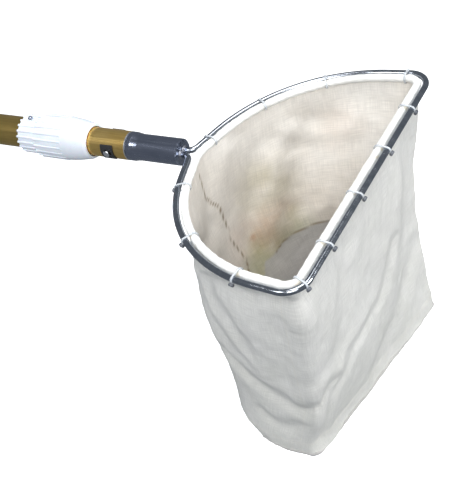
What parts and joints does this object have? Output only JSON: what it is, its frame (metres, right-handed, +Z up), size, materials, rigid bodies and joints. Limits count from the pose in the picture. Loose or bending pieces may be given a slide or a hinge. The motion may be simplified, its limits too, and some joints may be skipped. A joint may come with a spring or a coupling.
{
  "type": "leaf skimmer net",
  "caption": "Deep canvas bag tied inside a flat-fronted steel hoop, welded to a socket that snaps into a gold two-section telescopic pole with a ribbed twist lock.",
  "frame": {"origin": "the neck, where the pole's axis meets the hoop's plane at the hoop's back", "axes": "+X along the pole towards the hoop's flat front bar, +Z up and square to the hoop, so the bag hangs to -Z"},
  "size_m": [1.4265, 0.308, 0.2704],
  "materials": {
    "steel_rod": "polished",
    "steel_socket": "zinc plated",
    "weld": "as welded",
    "gold_inner": "gold anodised",
    "gold_outer": "dark gold anodised",
    "saddle": "matte",
    "spring_steel": "bright",
    "button_steel": "polished",
    "plug_plastic": "moulded",
    "bush_plastic": "moulded",
    "lock_plastic": "moulded",
    "collet_plastic": "moulded",
    "grip_vinyl": "moulded",
    "cap_plastic": "moulded",
    "canvas": "plain woven cotton",
    "rope": "twisted",
    "tie_nylon": "clear nylon"
  },
  "bodies": {
    "head": {"hoop_rod": "steel_rod", "neck_socket": "steel_socket", "socket_end_plate": "steel_socket", "neck_weld": "weld", "inner_tube": "gold_inner", "saddle_near": "saddle", "saddle_far": "saddle", "clip_bend": "spring_steel", "inner_tube_plug": "plug_plastic", "bush_washer": "spring_steel", "bush_screw": "spring_steel", "hem_sleeve": "canvas", "hem_rope": "rope", "bag_front": "canvas", "bag_wrap": "canvas", "bag_bottom": "canvas", "tie_far_1": "tie_nylon", "tie_far_2": "tie_nylon", "tie_far_3": "tie_nylon", "tie_far_4": "tie_nylon", "tie_far_5": "tie_nylon", "tie_far_6": "tie_nylon", "tie_near_1": "tie_nylon", "tie_near_2": "tie_nylon", "tie_near_3": "tie_nylon", "tie_near_4": "tie_nylon", "tie_near_5": "tie_nylon", "tie_near_6": "tie_nylon"},
    "near_leaf": {"clip_leg_near": "spring_steel", "snap_button_near": "button_steel"},
    "far_leaf": {"clip_leg_far": "spring_steel", "snap_button_far": "button_steel"},
    "bush": {"guide_bush": "bush_plastic"},
    "outer_section": {"outer_tube": "gold_outer", "lock_base": "lock_plastic", "collar_rivets": "spring_steel", "grip_collet": "collet_plastic", "hand_grip": "grip_vinyl", "end_cap": "cap_plastic"},
    "ring": {"clamp_ring": "collet_plastic"},
    "nut": {"lock_nut": "lock_plastic"}
  },
  "joints": [
    {"name": "near_button_press", "type": "hinge", "parent": "head", "child": "near_leaf", "pos_m": [-0.1357, -0.004, 0], "axis": [0, 0, 1], "range_deg": [0, 5.5], "stiffness_Nm_per_rad": 0.9},
    {"name": "far_button_press", "type": "hinge", "parent": "head", "child": "far_leaf", "pos_m": [-0.1357, 0.004, 0], "axis": [0, 0, -1], "range_deg": [0, 5.5], "stiffness_Nm_per_rad": 0.9},
    {"name": "pole_swivel", "type": "hinge", "parent": "head", "child": "bush", "pos_m": [-1.15, 0, 0], "axis": [1, 0, 0], "continuous": true},
    {"name": "pole_extend", "type": "slide", "parent": "bush", "child": "outer_section", "axis": [-1, 0, 0], "range_m": [0, 0.92]},
    {"name": "nut_advance", "type": "slide", "parent": "outer_section", "child": "ring", "axis": [1, 0, 0], "range_m": [0, 0.00226]},
    {"name": "nut_turn", "type": "hinge", "parent": "ring", "child": "nut", "pos_m": [-0.14, 0, 0], "axis": [1, 0, 0], "range_deg": [0, 270]}
  ],
  "couplings": [
    {"joint": "nut_advance", "follows": "nut_turn", "m_per_rad": 0.00047746}
  ]
}
